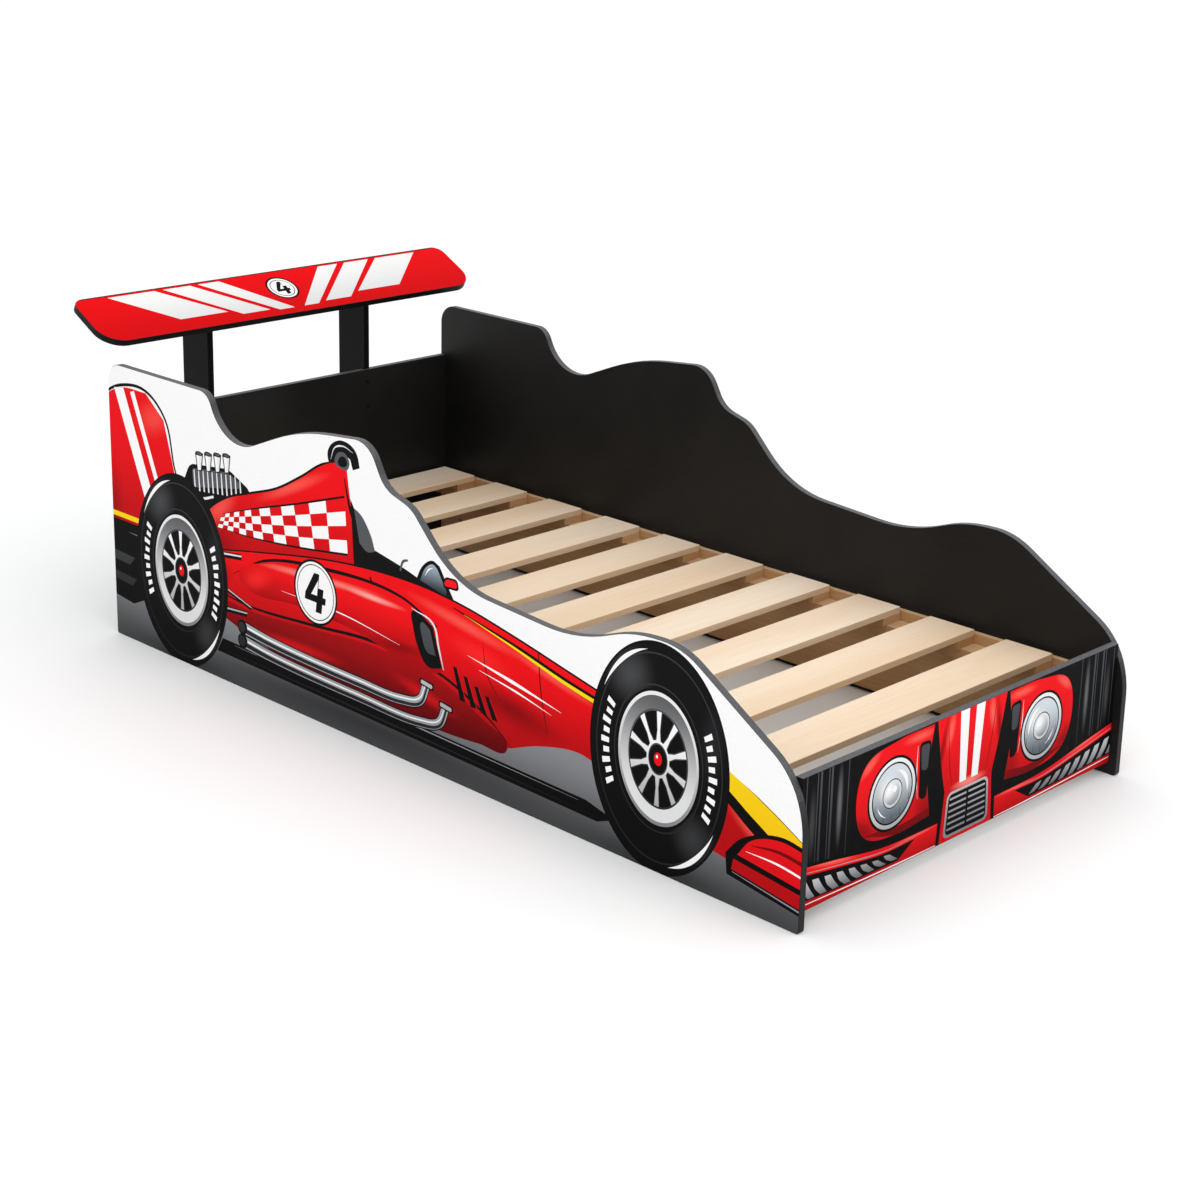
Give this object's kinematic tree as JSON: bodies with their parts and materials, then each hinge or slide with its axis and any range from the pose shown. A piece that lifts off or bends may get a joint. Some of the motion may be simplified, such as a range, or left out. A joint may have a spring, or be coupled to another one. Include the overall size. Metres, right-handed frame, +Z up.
{
  "type": "car bed for children",
  "caption": "Child's single bed with side boards cut to a racing car's outline, a low front board, a tilted rear wing and a slatted base.",
  "frame": {"origin": "on the floor, half way along and half way across the whole bed, wing included", "axes": "+X towards the nose and footboard, +Y towards the car's left side, +Z up"},
  "size_m": [2.0156, 1.036, 0.7334],
  "materials": {
    "side_panel": "printed melamine face, gloss; black inner face, dark grey edges",
    "end_board": "black melamine board, satin, grey edges",
    "wing": "printed melamine board, gloss, black edges",
    "upright": "black melamine board, satin",
    "rail_wood": "planed pine, clear",
    "slat_wood": "planed birch, clear",
    "dowel_wood": "fluted beech, raw",
    "steel": "zinc plated",
    "black_steel": "black phosphate",
    "cam_zinc": "die-cast, bright"
  },
  "bodies": {
    "root": {"side_panel_left": "side_panel", "side_panel_right": "side_panel", "headboard": "end_board", "footboard": "end_board", "wing_board": "wing", "wing_upright_right": "upright", "wing_upright_left": "upright", "side_rail_left": "rail_wood", "side_rail_right": "rail_wood", "slat_ledger_left": "rail_wood", "slat_ledger_right": "rail_wood", "slat_01": "slat_wood", "slat_end_blocks_01": "rail_wood", "slat_02": "slat_wood", "slat_end_blocks_02": "rail_wood", "slat_03": "slat_wood", "slat_end_blocks_03": "rail_wood", "slat_04": "slat_wood", "slat_end_blocks_04": "rail_wood", "slat_05": "slat_wood", "slat_end_blocks_05": "rail_wood", "slat_06": "slat_wood", "slat_end_blocks_06": "rail_wood", "slat_07": "slat_wood", "slat_end_blocks_07": "rail_wood", "slat_08": "slat_wood", "slat_end_blocks_08": "rail_wood", "slat_09": "slat_wood", "slat_end_blocks_09": "rail_wood", "slat_10": "slat_wood", "slat_end_blocks_10": "rail_wood", "corner_cam_bolts": "steel", "corner_dowels": "dowel_wood", "corner_cam_locks": "cam_zinc", "wing_cam_bolts": "steel", "wing_dowels": "dowel_wood", "wing_cam_locks": "cam_zinc", "upright_screws": "black_steel", "rail_screws": "steel", "ledger_screws": "steel", "slat_pegs": "dowel_wood", "slat_nails": "steel"}
  },
  "joints": []
}
